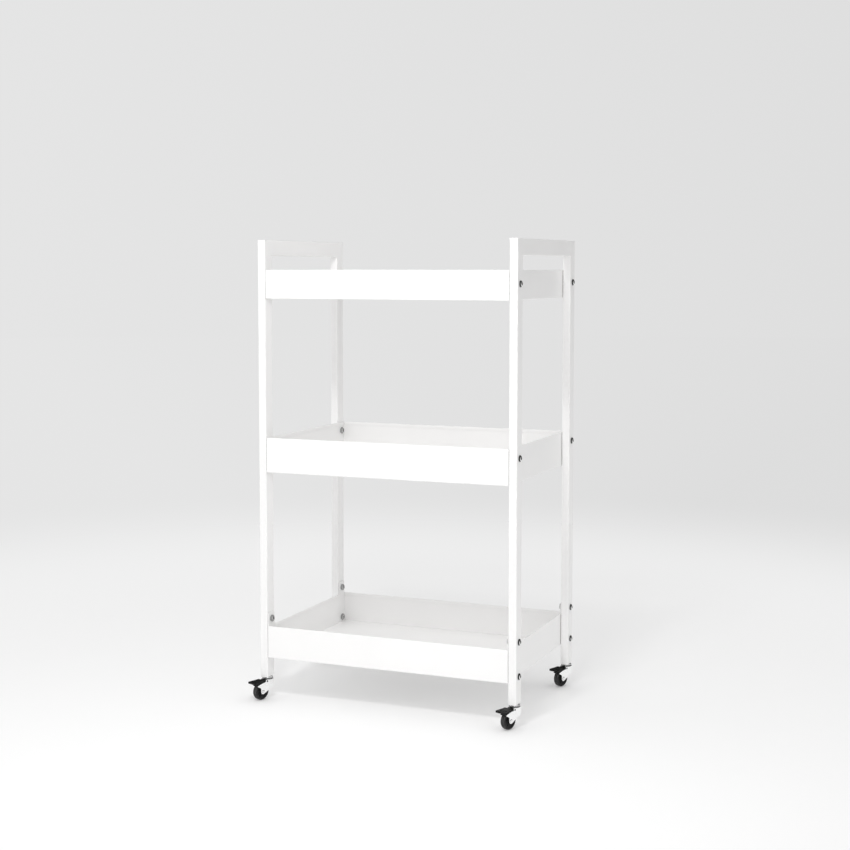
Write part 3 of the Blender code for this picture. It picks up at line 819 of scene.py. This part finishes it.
def pedal_mesh():
    """The brake pedal about its pivot: a flared, ribbed paddle over the wheel, on a neck with two pegs."""
    px, pz = PEDAL_PIVOT
    side = [(4.2, 29.6), (4.2, 31.4), (5.2, 32.4), (12.0, 32.5), (33.8, 31.9), (34.8, 31.1), (35.0, 29.4),
            (34.2, 28.8), (30.0, 28.9), (22.0, 30.1), (16.0, 30.6), (11.0, 30.5), (7.4, 28.7), (5.0, 28.7)]
    side = softened([(x * MM, z * MM) for x, z in side], 0.5 * MM, 2)
    neck, wide = 4.9 * MM, PEDAL_HALF_WIDTH
    half = [(0.0, neck), (10.7 * MM, neck), (12.4 * MM, wide), (20.0 * MM, wide - 0.7 * MM),
            (32.0 * MM, wide), (34.4 * MM, wide - 0.6 * MM), (36.0 * MM, wide - 2.2 * MM)]
    plan = softened(half + [(x, -y) for x, y in reversed(half)], 1.0 * MM)
    paddle = prism("pedal", side, "Y", -12 * MM, 12 * MM)
    steps = [("INTERSECT", prism("plan", plan, "Z", 25 * MM, 36 * MM))]
    mesh = shaped(paddle, steps, bevel=0.35 * MM, bevel_angle=50.0)
    steps = []
    for i in range(PEDAL_RIBS):
        along = (24.5 + 2.4 * i) * MM
        # The paddle's top slopes down from (12, 32.5) to (33.8, 31.9).
        top = (32.5 - 0.6 * (along / MM - 12.0) / 21.8) * MM
        low = (along - 0.45 * MM, -7.6 * MM, top - 0.8 * MM)
        high = (along + 0.45 * MM, 7.6 * MM, top + 0.28 * MM)
        steps.append(("UNION", bevelled(box_mesh("rib", low, high), 0.2 * MM)))
    steps.append(("UNION", rod("pegs", PEG_RADIUS, (px, -6.3 * MM, pz), (px, 6.3 * MM, pz))))
    mesh = shaped(mesh, steps)
    mesh.transform(Matrix.Translation((-px, 0.0, -pz)))
    return smooth(mesh, 40.0)


def casters():
    """Four casters, each turned the way that its swivel and its wheel stand in the frame."""
    joints = {j["name"]: j for j in frame["joints"]}
    upright = Matrix.Identity(4)
    on_axle = Matrix.Translation((TRAIL, 0.0, WHEEL_RADIUS)) @ Matrix.Rotation(-math.pi / 2, 4, "X")
    on_pivot = Matrix.Translation((PEDAL_PIVOT[0], 0.0, PEDAL_PIVOT[1]))
    kinds = (  # Node, piece, mesh, material, slot, body and place in the caster's own frame.
        ("stem", "stem_screw", stem_mesh(), BRIGHT_TURNED, "plated_steel", "", upright),
        ("fork", "fork_pressing", fork_mesh(), FORK_STEEL, "plated_steel", "fork", upright),
        ("axle", "axle_rivet", axle_mesh(), BRIGHT_TURNED, "plated_steel", "fork", on_axle),
        ("wheel", "tyre", wheel_mesh(), TREAD, "black_tread", "wheel", on_axle),
        ("pedal", "lever", pedal_mesh(), PLASTIC, "black_plastic", "pedal", on_pivot),
    )
    for end in ENDS:
        for side in SIDES:
            corner = f"{end}_{side}"
            pivot = Vector(joints[f"swivel_{corner}"]["pos_m"])
            across = Vector(joints[f"roll_{corner}"]["axis"])
            yaw = math.atan2(across.y, across.x) - math.pi / 2
            stand = Matrix.Translation((pivot.x, pivot.y, 0.0)) @ Matrix.Rotation(yaw, 4, "Z")
            name = f"caster_{corner}"
            for node, part, mesh, look, slot, body, place in kinds:
                body = f"{name}_{body}" if body else BODY
                piece(f"{name}_{part}", mesh, look, slot, body, f"{name}_{node}", stand @ place)


# ---------------------------------------------------------------- studio

def backdrop_grey(n, direction):
    """The backdrop's grey in a direction, a little darker towards +X."""
    return n.spread(n.axes(direction)["X"], *BACKDROP, *BACKDROP_SPAN)


def floor():
    """A pale floor that turns into the backdrop's grey with distance, so that no horizon shows."""
    mesh = lathe("floor", [(FLOOR_RADIUS, z) for z in FLOOR_Z], 96)
    obj = bpy.data.objects.new("floor", mesh)
    bpy.context.scene.collection.objects.link(obj)
    n = Surface("studio_floor")
    mesh.materials.append(n.finish(Base_Color=grey(1.0), Roughness=0.8, Specular_IOR_Level=0.2))
    far = n.add("ShaderNodeVectorMath", operation="LENGTH")
    n.link(n.place, far.inputs[0])
    ahead = n.add("ShaderNodeVectorMath", operation="NORMALIZE")
    n.link(n.place, ahead.inputs[0])
    distance, smoothly = far.outputs["Value"], {"interpolation_type": "SMOOTHSTEP"}
    fade = n.spread(distance, 0.0, 1.0, *GLOW_FADE, **smoothly)
    glow = n.add("ShaderNodeEmission")
    n.link(n.mix(fade, grey(GLOW_NEAR), backdrop_grey(n, ahead.outputs["Vector"])), glow.inputs["Color"])
    both = n.add("ShaderNodeMixShader")
    n.link(n.spread(distance, GLOW_SHARE, 1.0, *SHADE_FADE, **smoothly), both.inputs["Fac"])
    n.link(n.shader.outputs["BSDF"], both.inputs[1])
    n.link(glow.outputs["Emission"], both.inputs[2])
    n.link(both.outputs["Shader"], n.tree.nodes["Material Output"].inputs["Surface"])


def studio():
    """The world: the backdrop's grey where it is seen, and soft light, most of it from the sides and above."""
    world = bpy.data.worlds.new("studio")
    bpy.context.scene.world = world
    world.use_nodes = True
    n = Nodes(world.node_tree)
    direction = n.add("ShaderNodeTexCoord").outputs["Generated"]
    towards = n.axes(direction)
    light = SOFT_BASE
    for axis, sign, amount in SOFT_LOBES:
        facing = n.maths("MAXIMUM", n.maths("MULTIPLY", towards[axis], sign))
        light = n.maths("ADD", n.maths("MULTIPLY", n.maths("POWER", facing, 2.0), amount), light)
    rays = n.add("ShaderNodeLightPath").outputs
    behind = n.spread(towards["Y"], 1.0, DARK_SHARE, *DARK_BEHIND)
    light = n.maths("MULTIPLY", light, n.mix(rays["Is Glossy Ray"], 1.0, behind, "FLOAT"))
    shown = n.mix(rays["Is Camera Ray"], light, backdrop_grey(n, direction), "FLOAT")
    n.link(shown, n.tree.nodes["Background"].inputs["Color"])


def lights():
    for name, place, size, power in LIGHTS:
        lamp = bpy.data.lights.new(name, "AREA")
        lamp.shape, lamp.size, lamp.energy = "DISK", size, power
        obj = bpy.data.objects.new(name, lamp)
        obj.location = place
        aim = Vector(LIGHT_AIM) - obj.location
        obj.rotation_euler = aim.to_track_quat("-Z", "Y").to_euler()
        bpy.context.scene.collection.objects.link(obj)


def camera():
    data = bpy.data.cameras.new("camera")
    data.lens, data.sensor_width, data.shift_y = CAMERA_LENS, CAMERA_SENSOR, CAMERA_SHIFT
    obj = bpy.data.objects.new("camera", data)
    obj.location = CAMERA_PLACE
    obj.rotation_euler = (math.radians(90 - CAMERA_PITCH), 0.0, math.radians(CAMERA_YAW))
    bpy.context.scene.collection.objects.link(obj)
    bpy.context.scene.camera = obj
    bpy.context.scene.view_settings.view_transform = "Standard"


COAT = powder_coat()
BRIGHT_TURNED = plated("plated_steel_turned", shade=0.84, gloss=(0.1, 0.22), turned=True)
BOLT_STEEL = plated("plated_bolt", shade=0.84, gloss=(0.08, 0.18), turned=True, dark="head")
NUT_STEEL = plated("plated_nut", shade=0.4, gloss=(0.12, 0.24), turned=False)
# The fork's edges, back and crown rim carry painted shade and painted dark reflection.
FORK_STEEL = plated("plated_fork", shade=0.96, gloss=(0.05, 0.14), turned=False, dark="edges")
PLASTIC = moulded_plastic()
TREAD = tread_plastic()

for frame_side in SIDES:
    end_frame(frame_side)
for tray_tier in TRAY_ROWS:
    tray(tray_tier)
fasteners()
casters()
floor()
studio()
lights()
camera()
